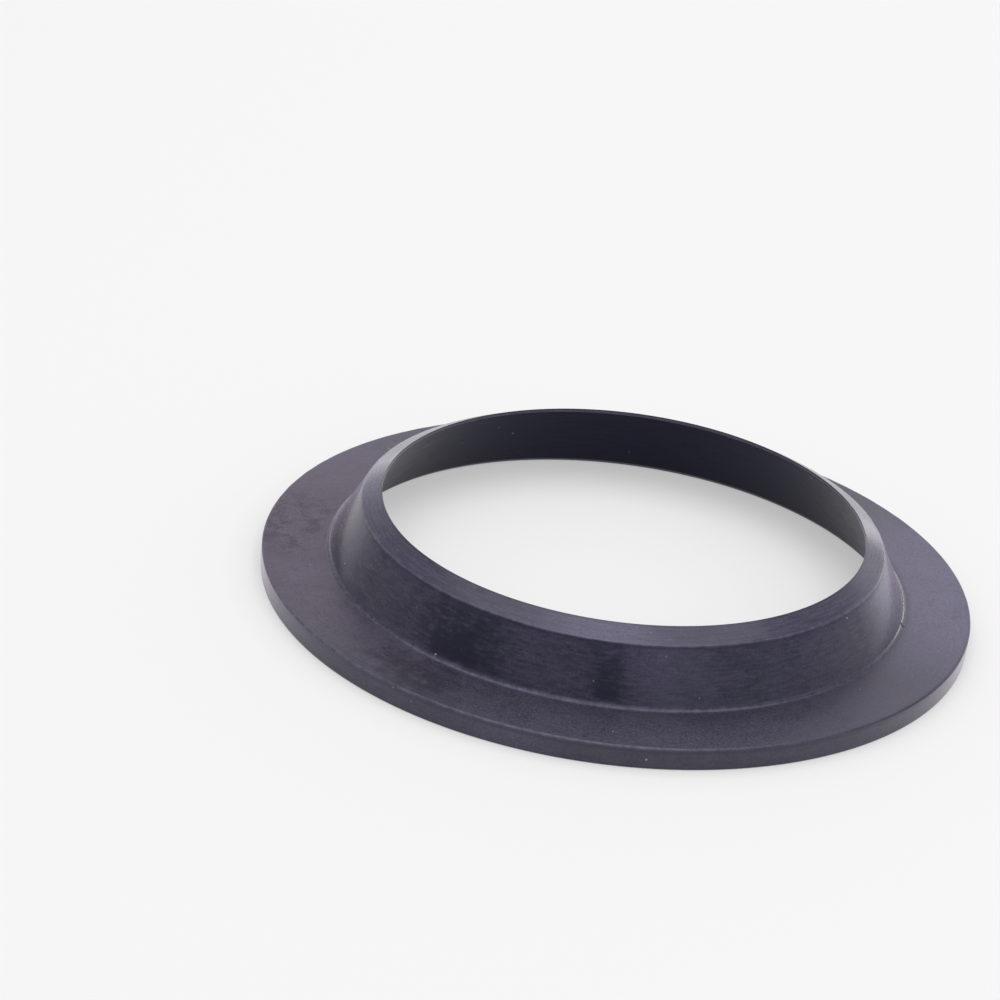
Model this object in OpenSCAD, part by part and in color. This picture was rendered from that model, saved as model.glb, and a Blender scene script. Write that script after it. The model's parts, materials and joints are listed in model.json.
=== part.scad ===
// Rod wiper seal, moulded in one piece of black rubber.
// A flat flange is clamped in the gland, and a conical lip leans in from it to scrape the rod.
// The axis is Z, the base of the flange lies at z = 0, and the lip points up.

/* [Lip] */
// Diameter of the wiping edge as moulded, a little under the rod it scrapes
lip_d = 88.2; // [40:0.2:160]
// Height of the wiping edge above the base
overall_h = 15.5; // [11:0.5:24]
// Height of the straight land below the wiping edge
land_h = 0.8; // [0.4:0.1:1.6]
// Radial width of the bevelled top, from the wiping edge out
bevel_w = 3.7; // [2.8:0.1:6]
// Fall of the bevelled top over its width
bevel_drop = 1.9; // [0.8:0.1:3]
// Round along the outer edge of the bevelled top
bevel_edge_r = 0.25; // [0.1:0.05:0.6]
// Radial spread of the lip's outer cone, from the bevel down to the flange
cone_flare = 5; // [2:0.5:9]
// Radial wall of the lip where it leaves the flange
lip_wall = 2.45; // [1.8:0.05:5]
// Fillet between the lip and the top of the flange
root_r = 1; // [0.4:0.1:2]

/* [Flange] */
// Radial width of the flange outside the lip
flange_w = 12.2; // [6:0.2:24]
// Thickness of the flange
flange_t = 4; // [2.5:0.5:7]
// Round along the two edges of the rim
rim_edge_r = 0.3; // [0.1:0.1:0.8]
// Round of the bore's mouth at the base
mouth_r = 2; // [0.5:0.25:2.5]

/* [Hidden] */
$fn = 180;

lip_r = lip_d / 2;
bevel_r = lip_r + bevel_w;
bevel_z = overall_h - bevel_drop;
land_z = overall_h - land_h;
cone_foot_r = bevel_r + cone_flare;
flange_r = cone_foot_r + flange_w;

// The bore is a cone from the land down past the root, where it leaves the lip its wall
bore_root_r = cone_foot_r - lip_wall;
bore_slope = (bore_root_r - lip_r) / (land_z - flange_t);
mouth_corner_r = bore_root_r + flange_t * bore_slope;

// Corners of the section, each as [radius, height]
wiping_edge = [lip_r, overall_h];
land_foot = [lip_r, land_z];
mouth_corner = [mouth_corner_r, 0];
rim_foot = [flange_r, 0];
rim_top = [flange_r, flange_t];
root = [cone_foot_r, flange_t];
bevel_edge = [bevel_r, bevel_z];

// How far a round's arc runs past its legs, so that it meets each at a clear point
crossing = 0.001;
// How many times its own size a round's kite reaches from the centre of the arc, past both legs
kite_reach = 1.3;

function unit(v) = v / norm(v);

// What lies between a corner and the arc of radius r that touches both its legs.
// It is a kite from the centre of the arc, with the arc's disc taken out, and it reaches past the legs.
module corner_sliver(before, corner, after, r) {
    u = unit(before - corner);
    v = unit(after - corner);
    half_angle = acos(u * v) / 2;
    touch = r / tan(half_angle);
    centre = corner + unit(u + v) * r / sin(half_angle);
    from_centre = corner - centre;
    translate(centre) difference() {
        polygon(kite_reach * [[0, 0], from_centre + v * touch, from_centre, from_centre + u * touch]);
        circle(r + crossing);
    }
}

// Half section of the seal: rounds are cut from the outward corners and the root is filled
module section() {
    difference() {
        union() {
            polygon([wiping_edge, land_foot, mouth_corner, rim_foot, rim_top, root, bevel_edge]);
            corner_sliver(rim_top, root, bevel_edge, root_r);
        }
        corner_sliver(land_foot, mouth_corner, rim_foot, mouth_r);
        corner_sliver(mouth_corner, rim_foot, rim_top, rim_edge_r);
        corner_sliver(rim_foot, rim_top, root, rim_edge_r);
        corner_sliver(root, bevel_edge, wiping_edge, bevel_edge_r);
    }
}

module wiper_seal() {
    color("#2c2b31") rotate_extrude() section();
}

wiper_seal();
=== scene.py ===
import json
import math

import bpy
import numpy as np
from mathutils import Matrix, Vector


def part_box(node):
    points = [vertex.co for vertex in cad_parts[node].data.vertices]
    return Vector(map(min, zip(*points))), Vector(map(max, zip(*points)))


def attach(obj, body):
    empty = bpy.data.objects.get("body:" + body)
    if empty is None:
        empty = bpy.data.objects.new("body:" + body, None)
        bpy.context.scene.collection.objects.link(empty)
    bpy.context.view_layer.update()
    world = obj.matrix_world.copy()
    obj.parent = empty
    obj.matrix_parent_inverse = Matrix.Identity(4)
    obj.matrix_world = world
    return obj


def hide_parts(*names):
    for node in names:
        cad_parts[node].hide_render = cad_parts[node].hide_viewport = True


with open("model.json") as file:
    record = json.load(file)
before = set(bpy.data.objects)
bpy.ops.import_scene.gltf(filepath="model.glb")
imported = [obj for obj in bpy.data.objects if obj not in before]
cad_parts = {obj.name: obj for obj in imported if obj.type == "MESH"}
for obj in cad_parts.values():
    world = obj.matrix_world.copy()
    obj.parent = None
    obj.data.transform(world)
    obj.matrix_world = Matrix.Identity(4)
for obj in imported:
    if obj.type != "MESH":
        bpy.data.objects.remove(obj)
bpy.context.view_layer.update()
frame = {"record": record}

# Seal ring
# The whole seal is one ring of black rubber: a flat flange and a thin lip that leans in to a wiping edge.
# It is pressed in a turned steel mould, its lip is then trimmed to a bevel, and it lies loose on its flange.
MM = 0.001
mounts = {mount["name"]: mount for mount in frame["record"]["mounts"]}
lip_r = mounts["rod_bore"]["dims"]["r_mm"] * MM
land_h = mounts["rod_bore"]["dims"]["length_mm"] * MM
rim_r = mounts["flange_rim"]["dims"]["r_mm"] * MM
flange_t = mounts["flange_top"]["pos_m"][2]
overall_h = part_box("wiper_seal")[1].z
bevel_w = 3.7 * MM
bevel_drop = 1.9 * MM
cone_flare = 5.0 * MM
lip_wall = 2.45 * MM
bevel_edge_r = lip_r + bevel_w
bevel_edge_h = overall_h - bevel_drop
cone_foot_r = bevel_edge_r + cone_flare
bore_root_r = cone_foot_r - lip_wall
bore_slope = (bore_root_r - lip_r) / (overall_h - land_h - flange_t)

# Finishes of the rubber, in the order of the ring's material slots
FINISHES = ("moulded_flange", "trimmed_rim", "polished_lip", "trimmed_bevel", "dull_bore")
# Half section, corner by corner: radius, height and round, then the steps and the finish of the next face
SECTION = {
    "rim_foot": (rim_r, 0.0, 0.30 * MM, 9, "trimmed_rim"),
    "rim_top": (rim_r, flange_t, 0.30 * MM, 20, "moulded_flange"),
    "root": (cone_foot_r, flange_t, 1.0 * MM, 18, "polished_lip"),
    "bevel_edge": (bevel_edge_r, bevel_edge_h, 0.25 * MM, 9, "trimmed_bevel"),
    "wiping_edge": (lip_r, overall_h, 0.08 * MM, 4, "trimmed_bevel"),
    "land_foot": (lip_r, overall_h - land_h, 0.30 * MM, 16, "dull_bore"),
    "mouth": (bore_root_r + flange_t * bore_slope, 0.0, 2.0 * MM, 12, "moulded_flange"),
}
ARC_STEPS = 9
AROUND_STEPS = 600
# Edges worn paler, the rim's top edge also painted paler as a highlight, and dark lines just off an edge:
# radius and height. The line at the rim's foot is painted contact shadow and the one at the wiping edge
# painted shade; the others run below the rim's top edge and beside the bevel's edge.
WORN_EDGES = (SECTION["rim_top"][:2], SECTION["bevel_edge"][:2])
DIRT_AND_SHADE_LINES = (
    SECTION["rim_foot"][:2],
    (rim_r, flange_t - 0.55 * MM),
    (bevel_edge_r + 0.20 * MM, bevel_edge_h - 0.40 * MM),
    SECTION["wiping_edge"][:2],
)
WEAR_REACH = 0.30 * MM
DIRT_AND_SHADE_REACH = 0.24 * MM
# Wear takes a little off an edge, in waves: its depth, and the fewest and most waves in a turn
WEAR_DEPTH = 0.05 * MM
WEAR_WAVES = (25, 110)
# The rim's edge is painted paler round the left and the front, a painted highlight over some wear, and
# painted darker round the right and the back, as painted shade. The bevel's edge is worn evenly.
RIM_EDGE_LIT_AZIMUTH = math.radians(-148)
RIM_EDGE_LIT_STEEPNESS = 2.2
BEVEL_WEAR = 0.5
# The fillet at the root keeps a pale line, bloom with a painted highlight, clearer at some places: azimuth,
# half width, added share
ROOT_LINE = 0.18
ROOT_LINE_CLEARER = (
    (-105.0, 45.0, 0.60),
    (12.0, 22.0, 0.30),
    (120.0, 50.0, 0.40),
)
ROOT_REACH = 0.45 * MM
# Painted shade darkens the flange beside the root, most of it at the front, where the flange mirrors
# the dark lip
ROOT_SHADE = 0.55
ROOT_SHADE_REACH = 5.0 * MM
ROOT_SHADE_AZIMUTH = -72.0
ROOT_SHADE_HALF_WIDTH = 42.0
# A slanting cut across the root, on the ring's right. The mesh has NICK_STEPS more columns there, within
# NICK_FINER half lengths of the cut's middle.
NICK_AZIMUTH = math.radians(-12.5)
NICK_HALF_LENGTH = 0.75 * MM
NICK_HALF_WIDTH = 0.11 * MM
NICK_DEPTH = 0.22 * MM
NICK_SLANT = math.radians(52)
NICK_FINER = 1.6
NICK_STEPS = 24
# Where the rubber is darker and paler: azimuth and half width in degrees, then the share on the flange, the
# rim, the lip, the bevel and the bore. The darker places are painted shade and painted dark reflections at
# the front and the sides, and wiped-off bloom at the back. The paler ones are painted highlights, and at the
# back thicker bloom.
WIPED_AND_SHADE = (
    (-172.0, 18.0, 0.0, 0.0, 0.70, 0.0, 0.0),
    (-126.0, 12.0, 0.65, 0.0, 0.0, 0.0, 0.0),
    (-121.5, 11.0, 0.0, 0.2, 0.95, 0.55, 0.3),
    (-91.5, 4.2, 0.15, 0.0, 0.90, 0.15, 0.2),
    (-77.0, 1.8, 0.0, 0.0, 0.40, 0.0, 0.0),
    (-3.0, 5.0, 0.30, 0.2, 0.35, 0.35, 0.3),
    (47.0, 10.0, 0.50, 0.3, 0.90, 0.45, 0.3),
    (83.0, 5.0, 0.25, 0.2, 0.75, 0.25, 0.4),
    (131.0, 14.0, 0.55, 0.3, 0.85, 0.35, 0.2),
)
BLOOM_AND_HIGHLIGHTS = (
    (-179.0, 8.0, 0.0, 0.0, 0.0, 0.50, 0.0),
    (-105.0, 7.0, 0.0, 0.35, 0.15, 0.0, 0.0),
    (-94.0, 13.0, 0.0, 0.0, 0.0, 0.75, 0.0),
    (-84.0, 6.0, 0.0, 0.0, 0.25, 0.0, 0.0),
    (-82.0, 36.0, 0.25, 0.0, 0.0, 0.0, 0.0),
    (-45.0, 13.0, 0.0, 0.0, 0.12, 0.0, 0.0),
    (-13.0, 13.0, 0.0, 0.0, 0.85, 0.0, 0.0),
    (4.0, 34.0, 0.85, 0.3, 0.0, 0.0, 0.2),
    (150.0, 18.0, 0.3, 0.2, 0.2, 0.4, 0.0),
)
# The lip is darker at its foot, as painted shade, and paler towards its top, as painted highlight: factors
# at the foot and at the top
WIPED_AND_SHADE_UP_LIP = (1.15, 0.55)
BLOOM_AND_HIGHLIGHTS_UP_LIP = (0.35, 1.5)
# Border left free round each half of the flat map for baking
MAP_MARGIN = 0.004
draw = np.random.default_rng(seed=11)


def rounded_section():
    """Half section with true rounds. A corner becomes the arc that touches both its legs: its centre lies on
    the bisector, at radius / sin(half angle). A leg runs from arc to arc, in cosine steps that crowd towards
    its ends. Returns the points (radius, height) and, for each, the number of the corner it belongs to: the
    one whose arc or next leg it is on."""
    corner = np.array([c[:2] for c in SECTION.values()])
    radius = np.array([c[2] for c in SECTION.values()])[:, None]
    before = np.roll(corner, 1, axis=0) - corner
    after = np.roll(corner, -1, axis=0) - corner
    before /= np.linalg.norm(before, axis=1, keepdims=True)
    after /= np.linalg.norm(after, axis=1, keepdims=True)
    half = np.arccos((before * after).sum(1, keepdims=True)) / 2
    bisector = (before + after) / np.linalg.norm(before + after, axis=1, keepdims=True)
    centre = corner + bisector * radius / np.sin(half)
    first = corner + before * radius / np.tan(half) - centre
    last = corner + after * radius / np.tan(half) - centre
    start = np.arctan2(first[:, 1], first[:, 0])
    turn = (np.arctan2(last[:, 1], last[:, 0]) - start + np.pi) % (2 * np.pi) - np.pi
    angle = start[:, None] + turn[:, None] * np.linspace(0, 1, ARC_STEPS)
    arcs = centre[:, None] + radius[:, None] * np.stack([np.cos(angle), np.sin(angle)], 2)
    runs = []
    owner = []
    for k, (*_, steps, _) in enumerate(SECTION.values()):
        share = 0.5 - 0.5 * np.cos(np.pi * np.arange(1, steps) / steps)
        leg = arcs[k, -1] + share[:, None] * (arcs[(k + 1) % len(corner), 0] - arcs[k, -1])
        runs += [arcs[k], leg]
        owner += [k] * (ARC_STEPS + steps - 1)
    return np.concatenate(runs), np.array(owner)


def outward(section):
    """Unit normals of the section: the tangent through each point's two neighbours, turned to the right."""
    tangent = np.roll(section, -1, axis=0) - np.roll(section, 1, axis=0)
    normal = np.stack([tangent[:, 1], -tangent[:, 0]], 1)
    return normal / np.linalg.norm(normal, axis=1, keepdims=True)


def ripple(around, fewest, most):
    """Wavering from -1 to 1, closed on itself: a sum of cosines with whole wave counts and drawn phases."""
    counts = np.arange(fewest, most + 1)
    waves = np.cos(np.outer(around, counts) + draw.uniform(0, 2 * np.pi, len(counts))).sum(1)
    return waves / np.abs(waves).max()


def nearness(section, places, reach):
    """1 at the given places of the section, and falling to 0 as exp(-(distance / reach)^2)."""
    distance = np.linalg.norm(section[:, None] - np.array(places), axis=2).min(1)
    return np.exp(-(distance / reach) ** 2)


def nick(around, along, middle, radius):
    """Depth of the cut at each azimuth and place along the section. The turned axes run along the cut and
    across it, and the depth falls off as a fourth power along it and as a bell across it."""
    sideways = ((around - NICK_AZIMUTH + np.pi) % (2 * np.pi) - np.pi)[:, None] * radius
    lengthwise = np.cos(NICK_SLANT) * (along - middle) + np.sin(NICK_SLANT) * sideways
    across = np.cos(NICK_SLANT) * sideways - np.sin(NICK_SLANT) * (along - middle)
    return NICK_DEPTH * np.exp(-(lengthwise / NICK_HALF_LENGTH) ** 4 - (across / NICK_HALF_WIDTH) ** 2)


def bell(around, azimuth, half_width):
    """A column of shares: 1 at the azimuth, falling off as exp(-|angle / half width|^3) on both sides."""
    off = (np.degrees(around) - azimuth + 180) % 360 - 180
    return np.exp(-np.abs(off / half_width) ** 3)[:, None]


def laid_round(places, up_lip, around, section, finish):
    """Share of the given places at each azimuth and point of the section. A place is a bell in azimuth, times
    its share on the face's finish, and on the lip times a factor that runs from its foot to its top."""
    total = np.zeros((len(around), len(section)))
    for azimuth, half_width, *shares in places:
        total += bell(around, azimuth, half_width) * np.array(shares)[finish]
    up_the_lip = np.interp(section[:, 1], [flange_t, bevel_edge_h], up_lip)
    total *= np.where(finish == FINISHES.index("polished_lip"), up_the_lip, 1)
    return np.minimum(total, 1)


def revolved(section, normal, around, sunk):
    """Turns the section round Z: point i at azimuth j lies at (r cos, r sin, z), moved in along its normal by
    sunk[j, i]. Faces run along the section and then round it, closed both ways, and face outwards."""
    r = section[:, 0] - normal[:, 0] * sunk
    z = section[:, 1] - normal[:, 1] * sunk
    points = np.stack([np.cos(around)[:, None] * r, np.sin(around)[:, None] * r, z], 2)
    number = np.arange(sunk.size).reshape(sunk.shape)
    beside = np.roll(number, -1, axis=0)
    quads = np.stack([number, beside, np.roll(beside, -1, axis=1), np.roll(number, -1, axis=1)], 2)
    return points.reshape(-1, 3), quads.reshape(-1, 4)


def flat_map(around, up):
    """Places of the faces' corners on the flat map for baking. The two half turns lie one above the other,
    each with the azimuth across and the way along the section up, inside the margin."""
    half_turn = (around >= np.pi)[:, None, None] * 1.0
    around_next = np.append(around[1:], 2 * np.pi)
    up_next = np.append(up[1:], 1.0)
    u = np.stack([around, around_next, around_next, around], 1)[:, None] / np.pi - half_turn
    v = np.stack([up, up, up_next, up_next], 1)[None]
    u, v = (MAP_MARGIN + (1 - 2 * MAP_MARGIN) * share for share in np.broadcast_arrays(u, v))
    return np.stack([u, (half_turn + v) / 2], 3)


def piece(name, points, quads, smooth=True):
    """A mesh object at the origin from arrays of points and four-sided faces."""
    mesh = bpy.data.meshes.new(name)
    mesh.from_pydata(points, [], quads)
    mesh.polygons.foreach_set("use_smooth", np.full(len(quads), smooth))
    mesh.update()
    made = bpy.data.objects.new(name, mesh)
    bpy.context.scene.collection.objects.link(made)
    return made


def give(mesh, name, values):
    """A number on each vertex, under a name that materials read."""
    numbers = mesh.attributes.new(name, "FLOAT", "POINT").data
    numbers.foreach_set("value", values.astype(np.float32).ravel())


section, owner = rounded_section()
finish = np.array([FINISHES.index(c[4]) for c in SECTION.values()])[owner]
normal = outward(section)
along = np.concatenate([[0], np.cumsum(np.linalg.norm(np.diff(section, axis=0), axis=1))])
perimeter = along[-1] + np.linalg.norm(section[0] - section[-1])
root_point = np.flatnonzero(owner == list(SECTION).index("root"))[ARC_STEPS // 2]
root_place = section[root_point]
nick_span = NICK_FINER * NICK_HALF_LENGTH / cone_foot_r
around = np.concatenate([
    np.linspace(0, 2 * np.pi, AROUND_STEPS, endpoint=False),
    2 * np.pi + NICK_AZIMUTH + np.linspace(-nick_span, nick_span, NICK_STEPS),
])
around = np.unique(around.round(6))
edge = nearness(section, WORN_EDGES, WEAR_REACH)
worn = WEAR_DEPTH * edge * (0.5 + 0.5 * ripple(around, *WEAR_WAVES))[:, None]
cut = nick(around, along, along[root_point], section[:, 0])
points, quads = revolved(section, normal, around, worn + cut)
seal = piece("seal_ring", points, quads)
seal.data.polygons.foreach_set("material_index", np.tile(finish, len(around)).astype(np.int32))
baked = seal.data.uv_layers.new(name="OFBake").data
baked.foreach_set("uv", flat_map(around, along / perimeter).astype(np.float32).ravel())

# Numbers on the surface that the finishes read; some of them carry painted highlights and painted shade
# Painted highlight and painted shade on the rim's top edge, by side; the bevel's edge keeps even wear
wear_and_lit_side = np.clip(RIM_EDGE_LIT_STEEPNESS * np.cos(around - RIM_EDGE_LIT_AZIMUTH), -1, 1)[:, None]
on_rim = section[:, 0] > (cone_foot_r + rim_r) / 2
wear_and_lit_side = np.where(on_rim, wear_and_lit_side, BEVEL_WEAR)
# The pale line along the root's fillet is bloom with a painted highlight
root_line = ROOT_LINE + sum(share * bell(around, *place) for *place, share in ROOT_LINE_CLEARER)
root_line = root_line * nearness(section, [root_place], ROOT_REACH)
# Painted shade on the flange beside the root
root_shade = ROOT_SHADE * bell(around, ROOT_SHADE_AZIMUTH, ROOT_SHADE_HALF_WIDTH) * nearness(section, [root_place], ROOT_SHADE_REACH)
root_shade = np.where(finish == FINISHES.index("moulded_flange"), root_shade, 0)
dirt_and_shade = np.maximum(nearness(section, DIRT_AND_SHADE_LINES, DIRT_AND_SHADE_REACH), root_shade)
off_root = 1 - nearness(section, [root_place], 2 * ROOT_REACH)
give(seal.data, "along_mm", np.tile(along / MM, (len(around), 1)))
# The paler edges carry wear and painted highlights, the darker lines dirt and painted shade, the wiped places
# painted shade and the bloom painted highlights
give(seal.data, "edge", np.maximum(edge * np.maximum(wear_and_lit_side, 0), root_line))
give(seal.data, "dirt_and_shade", np.maximum(dirt_and_shade, edge * np.maximum(-wear_and_lit_side, 0)))
give(seal.data, "wiped_and_shade", off_root * laid_round(WIPED_AND_SHADE, WIPED_AND_SHADE_UP_LIP, around, section, finish))
give(seal.data, "bloom_and_painted_light", off_root * laid_round(BLOOM_AND_HIGHLIGHTS, BLOOM_AND_HIGHLIGHTS_UP_LIP, around, section, finish))


def add(tree, kind, settings=None, **inputs):
    """A shader node. An input is named with _ for a space, or numbered as i0, i1. A socket given to it is
    linked, and a value is set."""
    made = tree.nodes.new("ShaderNode" + kind)
    for key, value in (settings or {}).items():
        setattr(made, key, value)
    for key, value in inputs.items():
        numbered = key[0] == "i" and key[1:].isdigit()
        socket = made.inputs[int(key[1:]) if numbered else key.replace("_", " ")]
        if isinstance(value, bpy.types.NodeSocket):
            tree.links.new(value, socket)
        else:
            socket.default_value = value
    return made


def reckon(tree, operation, *numbers):
    """A sum, product or other reckoning of numbers that change over the surface."""
    values = {"i%d" % k: number for k, number in enumerate(numbers)}
    return add(tree, "Math", {"operation": operation}, **values).outputs[0]


def spread(tree, number, low, high, to_low=0.0, to_high=1.0):
    """Maps the stretch from low to high onto another, and holds it at the ends."""
    return add(tree, "MapRange", Value=number, i1=low, i2=high, i3=to_low, i4=to_high).outputs[0]


def between(tree, share, first, second):
    """From the first number to the second, by a share."""
    return add(tree, "Mix", i0=share, i2=first, i3=second).outputs[0]


def blend(tree, share, first, second):
    """From the first colour to the second, by a share."""
    return add(tree, "Mix", {"data_type": "RGBA"}, i0=share, i6=first, i7=second).outputs[2]


def painted(tree, attribute):
    """A number that the mesh carries on its vertices."""
    return add(tree, "Attribute", {"attribute_name": attribute}).outputs["Fac"]


def group(name, outputs, inputs=()):
    """An empty node group with number sockets. Returns its tree, what comes in and what leaves."""
    tree = bpy.data.node_groups.new(name, "ShaderNodeTree")
    for label in inputs:
        tree.interface.new_socket(name=label, in_out="INPUT", socket_type="NodeSocketFloat")
    for label in outputs:
        tree.interface.new_socket(name=label, in_out="OUTPUT", socket_type="NodeSocketFloat")
    return tree, tree.nodes.new("NodeGroupInput").outputs, tree.nodes.new("NodeGroupOutput").inputs


def new_material(name):
    """An empty material with nodes, and its tree."""
    made = bpy.data.materials.new(name)
    made.use_nodes = True
    made.node_tree.nodes.clear()
    return made, made.node_tree


# Grain of the pressed rubber at three sizes, from pores to broad clouds: noise waves in a metre, and detail
GRAIN = {"Pores": (2300.0, 2.0), "Mottle": (330.0, 4.0), "Clouds": (70.0, 3.0)}
NOISE_ROUGHNESS = 0.65
grain_group, _, leaves = group("rubber_grain", GRAIN)
place = add(grain_group, "TexCoord").outputs["Object"]
for label, (scale, detail) in GRAIN.items():
    noise = add(
        grain_group, "TexNoise", Vector=place, Scale=scale, Detail=detail, Roughness=NOISE_ROUGHNESS,
    )
    grain_group.links.new(noise.outputs["Fac"], leaves[label])

# Marks that run round the ring, left by the turned mould and the trimming: noise drawn out along the azimuth
MARKS_DETAIL = 3.0
marks_group, comes, leaves = group("turned_marks", ("Marks",), ("Breaks", "Marks Per Mm"))
place = add(marks_group, "TexCoord").outputs["Object"]
level = add(marks_group, "VectorMath", {"operation": "MULTIPLY"}, i0=place, i1=(1.0, 1.0, 0.0)).outputs[0]
facing = add(marks_group, "VectorMath", {"operation": "NORMALIZE"}, i0=level).outputs[0]
facing = add(marks_group, "VectorMath", {"operation": "SCALE"}, i0=facing, Scale=comes["Breaks"]).outputs[0]
facing = add(marks_group, "SeparateXYZ", i0=facing).outputs
across = reckon(marks_group, "MULTIPLY", painted(marks_group, "along_mm"), comes["Marks Per Mm"])
drawn = add(marks_group, "CombineXYZ", X=facing["X"], Y=facing["Y"], Z=across).outputs[0]
noise = add(
    marks_group, "TexNoise", Vector=drawn, Scale=1.0, Detail=MARKS_DETAIL, Roughness=NOISE_ROUGHNESS,
)
marks_group.links.new(noise.outputs["Fac"], leaves["Marks"])

# Dust: specks a few tenths of a millimetre wide, one in a cell, most of them faint.
# SPECK_CELLS is the number of cells along a metre, and the sizes are shares of a cell.
SPECK_CELLS = 330.0
SPECK_SIZE = 0.075
SPECK_CORE = 0.030
SPECK_FAINTNESS = 3.0
dust_group, _, leaves = group("dust", ("Specks",))
place = add(dust_group, "TexCoord").outputs["Object"]
cells = add(dust_group, "TexVoronoi", Vector=place, Scale=SPECK_CELLS).outputs
near = spread(dust_group, cells["Distance"], SPECK_CORE, SPECK_SIZE, 1.0, 0.0)
lot = add(dust_group, "SeparateXYZ", i0=cells["Color"]).outputs["X"]
strength = reckon(dust_group, "POWER", lot, SPECK_FAINTNESS)
dust_group.links.new(reckon(dust_group, "MULTIPLY", near, strength), leaves["Specks"])

# Wear and painted highlights: the edges and the root's fillet are made paler, here more and there less
RUB_AND_HIGHLIGHT_SCALE = 700.0
RUB_AND_HIGHLIGHT_DETAIL = 4.0
RUB_AND_HIGHLIGHT_RANGE = (0.40, 0.64)
RUB_AND_HIGHLIGHT_LEAST = 0.25
wear_and_highlight_group, _, leaves = group("worn_and_highlighted_edge", ("Wear And Highlight",))
place = add(wear_and_highlight_group, "TexCoord").outputs["Object"]
noise = add(
    wear_and_highlight_group, "TexNoise", Vector=place, Scale=RUB_AND_HIGHLIGHT_SCALE, Detail=RUB_AND_HIGHLIGHT_DETAIL, Roughness=NOISE_ROUGHNESS,
)
rubbed_and_highlighted = spread(wear_and_highlight_group, noise.outputs["Fac"], *RUB_AND_HIGHLIGHT_RANGE, RUB_AND_HIGHLIGHT_LEAST)
wear_and_highlight_group.links.new(reckon(wear_and_highlight_group, "MULTIPLY", painted(wear_and_highlight_group, "edge"), rubbed_and_highlighted), leaves["Wear And Highlight"])

# Bloom with painted highlights, thicker here, and wiped places with painted shade there: a border frays along
# mottling and marks, and is sharper where it is wiped and shaded. A border is a number on the surface and the
# stretch, less the fray, over which it sets in.
FRAY_RANGE = (0.35, 0.65)
FRAY_BY_MARKS = 0.4
BORDERS = {"Thick And Highlight": ("bloom_and_painted_light", -0.8, 0.3), "Bare And Shade": ("wiped_and_shade", -0.3, 0.3)}
bloom_and_light_group, comes, leaves = group("frayed_bloom_and_painted_light", BORDERS, ("Mottle", "Marks"))
mottle = spread(bloom_and_light_group, comes["Mottle"], *FRAY_RANGE)
fray = between(bloom_and_light_group, FRAY_BY_MARKS, mottle, comes["Marks"])
for label, (attribute, *border) in BORDERS.items():
    share = painted(bloom_and_light_group, attribute)
    left = spread(bloom_and_light_group, reckon(bloom_and_light_group, "SUBTRACT", share, fray), *border)
    bloom_and_light_group.links.new(reckon(bloom_and_light_group, "MULTIPLY", share, left), leaves[label])

# Colours of what lies on the rubber, of painted highlights and painted shade, and of its gloss
BLOOM_HIGHLIGHT_DARK = (0.052, 0.048, 0.086, 1)
BLOOM_HIGHLIGHT_PALE = (0.165, 0.154, 0.238, 1)
SCUFF_AND_HIGHLIGHT = (0.150, 0.146, 0.195, 1)
DUST = (0.42, 0.40, 0.43, 1)
BARE_AND_SHADE = (0.001, 0.001, 0.008, 1)
GLOSS_TINT = (0.84, 0.80, 1.0, 1)
HAZE_TINT = (0.96, 0.85, 1.0, 1)
FILM_ROUGHNESS = 0.14
HAZE_ROUGHNESS = 0.3
# How much of each grain is in the patchy colour, and the stretches of patches and marks that show
PATCHY_SHARES = {"Clouds": 0.20, "Mottle": 0.30, "Pores": 0.50}
PATCHY_RANGE = (0.40, 0.60)
MARKS_RANGE = (0.34, 0.66)
# How far dirt with painted shade and wear with painted highlights cover the colour, and how much rougher
# the paler edges are
DIRT_AND_SHADE_COVER = 0.85
SCUFF_AND_HIGHLIGHT_COVER = 0.8
SCUFF_ROUGHER = 0.12


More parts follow.
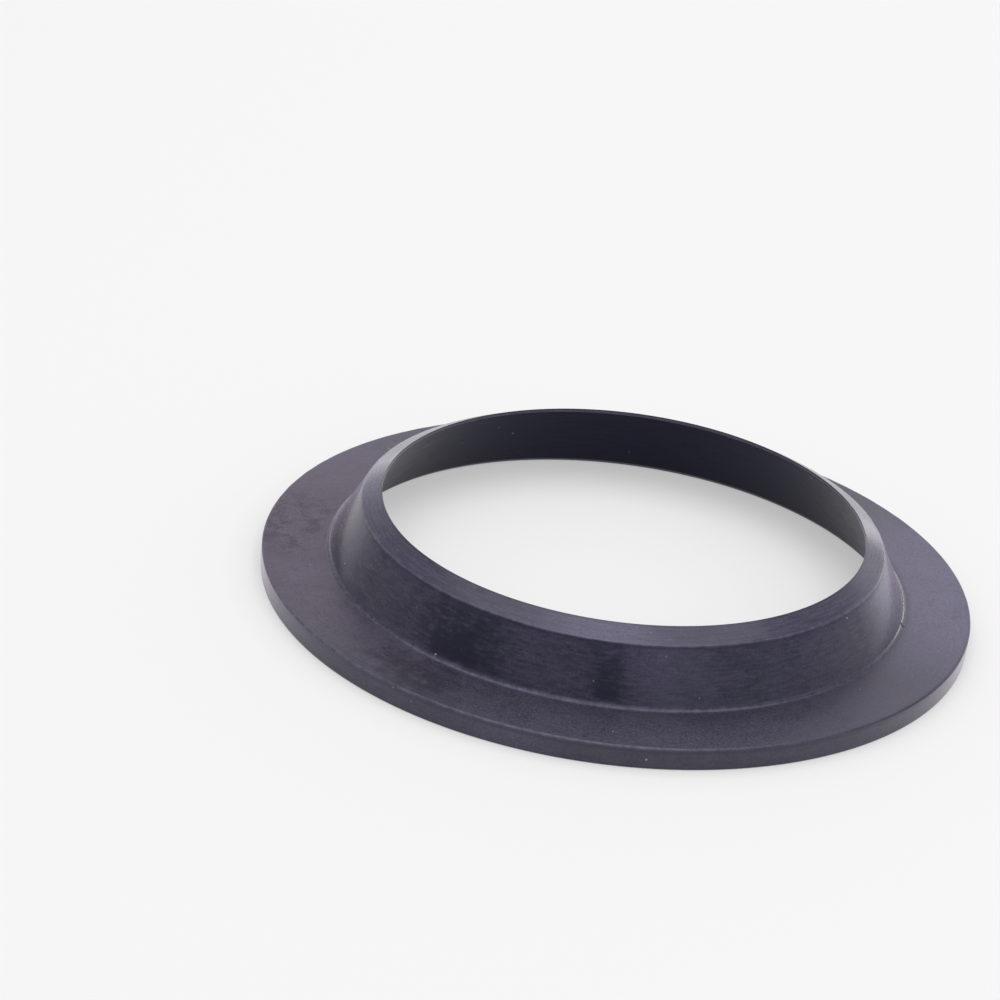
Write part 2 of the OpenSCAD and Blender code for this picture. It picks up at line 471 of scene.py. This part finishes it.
def rubber(name, dark, pale, polish, pores, breaks, marks_per_mm, marks, marks_depth,
           shine=0.65, tint=GLOSS_TINT, film=0.0, haze=0.0, stain=None):
    """One finish of the rubber. The colour goes from dark to pale by pores, mottling, clouds and turned
    marks, and then come bloom with painted highlights, wiped places with painted shade, an optional stain,
    dirt with painted shade, worn edges with painted highlights, and dust. polish is the range of its
    roughness, and pores and marks_depth are depths in metres. breaks sets how often the marks break off round
    the ring, and marks is their share of the colour and roughness. shine and tint are those of the gloss,
    film is a thin shiny coat, and haze is the fine dust that whitens a face seen at a slant."""
    made, tree = new_material(name)
    grain = add(tree, "Group", {"node_tree": grain_group}).outputs
    lines = add(tree, "Group", {"node_tree": marks_group}, Breaks=breaks, Marks_Per_Mm=marks_per_mm)
    lines = spread(tree, lines.outputs["Marks"], *MARKS_RANGE)
    wear_and_highlight = add(tree, "Group", {"node_tree": wear_and_highlight_group}).outputs["Wear And Highlight"]
    specks = add(tree, "Group", {"node_tree": dust_group}).outputs["Specks"]
    patchy = 0.0
    for label, share in PATCHY_SHARES.items():
        patchy = reckon(tree, "MULTIPLY_ADD", grain[label], share, patchy)
    shade = between(tree, marks, spread(tree, patchy, *PATCHY_RANGE), lines)
    colour = blend(tree, shade, dark, pale)
    bloom_and_painted_light = add(tree, "Group", {"node_tree": bloom_and_light_group}, Mottle=grain["Mottle"], Marks=lines).outputs
    # Bloom and painted highlights make the colour paler, and wiped places and painted shade make it darker
    colour = blend(tree, bloom_and_painted_light["Thick And Highlight"], colour, blend(tree, shade, BLOOM_HIGHLIGHT_DARK, BLOOM_HIGHLIGHT_PALE))
    colour = blend(tree, bloom_and_painted_light["Bare And Shade"], colour, BARE_AND_SHADE)
    if stain:
        colour = stain(tree, colour, shade, grain)
    # Dirt and painted shade darken the colour, and wear and painted highlights make it paler
    colour = blend(tree, reckon(tree, "MULTIPLY", painted(tree, "dirt_and_shade"), DIRT_AND_SHADE_COVER), colour, BARE_AND_SHADE)
    colour = blend(tree, reckon(tree, "MULTIPLY", wear_and_highlight, SCUFF_AND_HIGHLIGHT_COVER), colour, SCUFF_AND_HIGHLIGHT)
    colour = blend(tree, specks, colour, DUST)
    rough = spread(tree, shade, 0.0, 1.0, *polish)
    rough = reckon(tree, "MULTIPLY_ADD", wear_and_highlight, SCUFF_ROUGHER, rough)
    height = reckon(tree, "MULTIPLY", grain["Pores"], pores)
    height = reckon(tree, "MULTIPLY_ADD", lines, marks_depth, height)
    bump = add(tree, "Bump", Height=height, Strength=1.0, Distance=1.0)
    shader = add(
        tree, "BsdfPrincipled", Base_Color=colour, Roughness=rough, Normal=bump.outputs[0],
        Specular_IOR_Level=shine, Specular_Tint=tint, Coat_Weight=film, Coat_Roughness=FILM_ROUGHNESS,
        Sheen_Weight=haze, Sheen_Roughness=HAZE_ROUGHNESS, Sheen_Tint=HAZE_TINT,
    )
    add(tree, "OutputMaterial", Surface=shader.outputs[0])
    return made


# An old stain on the flange's left: plum blotches in a wide pinkish haze. Both are full within their core.
STAIN_MIDDLE = (-57.5 * MM, 2.0 * MM, flange_t)
BLOTCH_CORE = 9.0 * MM
BLOTCH_REACH = 18.0 * MM
BLOTCH_BY_PORES = 0.35
BLOTCH_RANGE = (0.48, 0.55)
BLOTCH_COLOUR = (0.012, 0.002, 0.014, 1)
STAIN_HAZE = 0.7
STAIN_HAZE_CORE = 6.2 * MM
STAIN_HAZE_REACH = 62.0 * MM
STAIN_HAZE_DARK = (0.004, 0.002, 0.006, 1)
STAIN_HAZE_PALE = (0.114, 0.072, 0.124, 1)


def stained(tree, colour, shade, grain):
    """Haze and blotches both fade with the distance from the stain's middle. The haze keeps the rubber's own
    shade, and the blotches keep to its mottling and pores."""
    place = add(tree, "TexCoord").outputs["Object"]
    far = add(tree, "VectorMath", {"operation": "DISTANCE"}, i0=place, i1=STAIN_MIDDLE).outputs["Value"]
    haze = spread(tree, far, STAIN_HAZE_CORE, STAIN_HAZE_REACH, STAIN_HAZE, 0.0)
    colour = blend(tree, haze, colour, blend(tree, shade, STAIN_HAZE_DARK, STAIN_HAZE_PALE))
    near = spread(tree, far, BLOTCH_CORE, BLOTCH_REACH, 1.0, 0.0)
    ragged = between(tree, BLOTCH_BY_PORES, grain["Mottle"], grain["Pores"])
    blotch = reckon(tree, "MULTIPLY", near, spread(tree, ragged, *BLOTCH_RANGE))
    return blend(tree, blotch, colour, BLOTCH_COLOUR)


# Looks of the five finishes
LOOKS = {
    "moulded_flange": dict(
        dark=(0.012, 0.011, 0.021, 1), pale=(0.058, 0.056, 0.079, 1), polish=(0.34, 0.48), pores=0.018 * MM,
        breaks=5.0, marks_per_mm=1.6, marks=0.2, marks_depth=0.002 * MM, stain=stained,
    ),
    "trimmed_rim": dict(
        dark=(0.010, 0.009, 0.019, 1), pale=(0.038, 0.036, 0.056, 1), polish=(0.16, 0.26), pores=0.008 * MM,
        breaks=14.0, marks_per_mm=1.2, marks=0.35, marks_depth=0.004 * MM, film=0.1, haze=0.6,
    ),
    "polished_lip": dict(
        dark=(0.006, 0.006, 0.012, 1), pale=(0.048, 0.045, 0.068, 1), polish=(0.18, 0.30), pores=0.004 * MM,
        breaks=18.0, marks_per_mm=1.9, marks=0.55, marks_depth=0.008 * MM,
        shine=0.34, tint=(0.66, 0.66, 1.0, 1), film=0.25, haze=0.3,
    ),
    "trimmed_bevel": dict(
        dark=(0.014, 0.013, 0.027, 1), pale=(0.054, 0.052, 0.086, 1), polish=(0.20, 0.34), pores=0.006 * MM,
        breaks=9.0, marks_per_mm=2.6, marks=0.6, marks_depth=0.006 * MM, shine=0.5, film=0.3,
    ),
    "dull_bore": dict(
        dark=(0.002, 0.002, 0.010, 1), pale=(0.007, 0.007, 0.030, 1), polish=(0.27, 0.38), pores=0.003 * MM,
        breaks=9.0, marks_per_mm=1.2, marks=0.6, marks_depth=0.008 * MM, shine=0.11, haze=0.06,
    ),
}
for name in FINISHES:
    seal.data.materials.append(rubber(name, **LOOKS[name]))
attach(seal, "root")
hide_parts("wiper_seal")

# Floor
# A plain white sheet that the seal lies on. Part of its white is a glow that only the eye and mirrors see,
# so that the shadows on it stay pale.
FLOOR_LIT = (0.925, 0.93, 0.90, 1)
FLOOR_SEEN = (0.54, 0.55, 0.53, 1)
FLOOR_GLOW = 0.385
FLOOR_HALF = 4.0
FLOOR_DROP = 0.02 * MM
corners = FLOOR_HALF * np.array([[-1, -1, 0], [1, -1, 0], [1, 1, 0], [-1, 1, 0]]) - [0, 0, FLOOR_DROP]
floor = piece("floor", corners, np.array([[0, 1, 2, 3]]), smooth=False)
sheet, tree = new_material("white_sheet")
ray = add(tree, "LightPath").outputs
seen = reckon(tree, "MAXIMUM", ray["Is Camera Ray"], ray["Is Glossy Ray"])
seen = reckon(tree, "MAXIMUM", seen, ray["Is Transmission Ray"])
shader = add(
    tree, "BsdfPrincipled", Base_Color=blend(tree, seen, FLOOR_LIT, FLOOR_SEEN),
    Roughness=1.0, Specular_IOR_Level=0.0,
    Emission_Color=(1, 1, 1, 1), Emission_Strength=reckon(tree, "MULTIPLY", seen, FLOOR_GLOW),
)
add(tree, "OutputMaterial", Surface=shader.outputs[0])
floor.data.materials.append(sheet)

# Studio light
# Soft panels stand round the seal and face it, brightest overhead and behind. The room between them is dim
# and even. A panel of brightness 1 looks white, and its power is then pi times its area.
PANEL_DISTANCE = 1.2
PANELS = {
    # name: azimuth and elevation in degrees, width and height in metres, brightness, colour
    "overhead": (90, 86, 1.3, 1.3, 1.10, (1.0, 1.0, 1.0)),
    "front_high": (268, 50, 1.0, 0.6, 0.70, (1.0, 1.0, 1.0)),
    "back": (86, 15, 1.0, 0.6, 0.72, (1.04, 1.0, 1.05)),
    "back_left": (130, 15, 0.6, 0.6, 0.16, (1.14, 1.0, 1.12)),
    "back_right": (40, 15, 0.7, 0.6, 0.58, (1.0, 1.0, 1.02)),
    "back_low": (84, 5, 2.4, 0.2, 0.95, (1.03, 1.0, 1.04)),
    "back_right_low": (49, 3, 0.4, 0.14, 1.60, (1.0, 1.0, 1.02)),
    "front_right": (300, 22, 0.5, 0.4, 0.53, (1.0, 1.0, 1.0)),
    "right_front": (330, 20, 0.5, 0.4, 0.20, (0.98, 1.0, 1.0)),
    "right": (348, 30, 0.6, 0.4, 0.45, (1.0, 1.0, 1.0)),
    "right_low": (5, 9, 0.7, 0.36, 0.22, (0.97, 1.0, 1.0)),
    "left_low": (180, 8, 0.7, 0.34, 0.19, (1.02, 1.0, 1.04)),
}
ROOM_COLOUR = (0.58, 0.56, 0.61, 1)


def aim(position):
    """Axes of something at position that looks at the middle along its own -Z, upright: right, up, back."""
    back = np.array(position) / np.linalg.norm(position)
    right = np.cross((0.0, 0.0, 1.0), back)
    right /= np.linalg.norm(right)
    return right, np.cross(back, right), back


def placed(made, axes, position):
    """Links an object at a position, with its axes as the columns of its turn."""
    matrix = np.eye(4)
    matrix[:3, :3] = np.stack(axes, 1)
    matrix[:3, 3] = position
    made.matrix_world = Matrix(matrix.tolist())
    bpy.context.scene.collection.objects.link(made)


for name, (azimuth, elevation, width, height, brightness, tint) in PANELS.items():
    turn = math.radians(azimuth)
    rise = math.radians(elevation)
    direction = np.array([math.cos(rise) * math.cos(turn), math.cos(rise) * math.sin(turn), math.sin(rise)])
    lamp = bpy.data.lights.new(name, "AREA")
    lamp.shape = "RECTANGLE"
    lamp.size = width
    lamp.size_y = height
    lamp.energy = brightness * math.pi * width * height
    lamp.color = tint
    panel = bpy.data.objects.new(name, lamp)
    panel.visible_camera = False
    placed(panel, aim(PANEL_DISTANCE * direction), PANEL_DISTANCE * direction)

world = bpy.data.worlds.new("room")
world.use_nodes = True
world.node_tree.nodes["Background"].inputs["Color"].default_value = ROOM_COLOUR
bpy.context.scene.world = world

# Camera
# A long lens looks down at the seal from the front, rolled a little. The seal's middle lies to the right of
# the line of sight and below it, by SEAL_RIGHT and SEAL_UP.
VIEW_ELEVATION = math.radians(25.4308)
VIEW_ROLL = math.radians(6.5436)
VIEW_DISTANCE = 497.83 * MM
SEAL_RIGHT = 21.012 * MM
SEAL_UP = -15.456 * MM
FOCAL_PX = 2703.75
PHOTO_PX = 1000
back = np.array([0.0, -math.cos(VIEW_ELEVATION), math.sin(VIEW_ELEVATION)])
level_right = np.array([1.0, 0.0, 0.0])
level_up = np.cross(back, level_right)
right = math.cos(VIEW_ROLL) * level_right + math.sin(VIEW_ROLL) * level_up
up = math.cos(VIEW_ROLL) * level_up - math.sin(VIEW_ROLL) * level_right
lens = bpy.data.cameras.new("camera")
lens.lens = FOCAL_PX / PHOTO_PX * lens.sensor_width
camera = bpy.data.objects.new("camera", lens)
placed(camera, (right, up, back), VIEW_DISTANCE * back - SEAL_RIGHT * right - SEAL_UP * up)
bpy.context.scene.camera = camera
bpy.context.scene.view_settings.view_transform = "Standard"
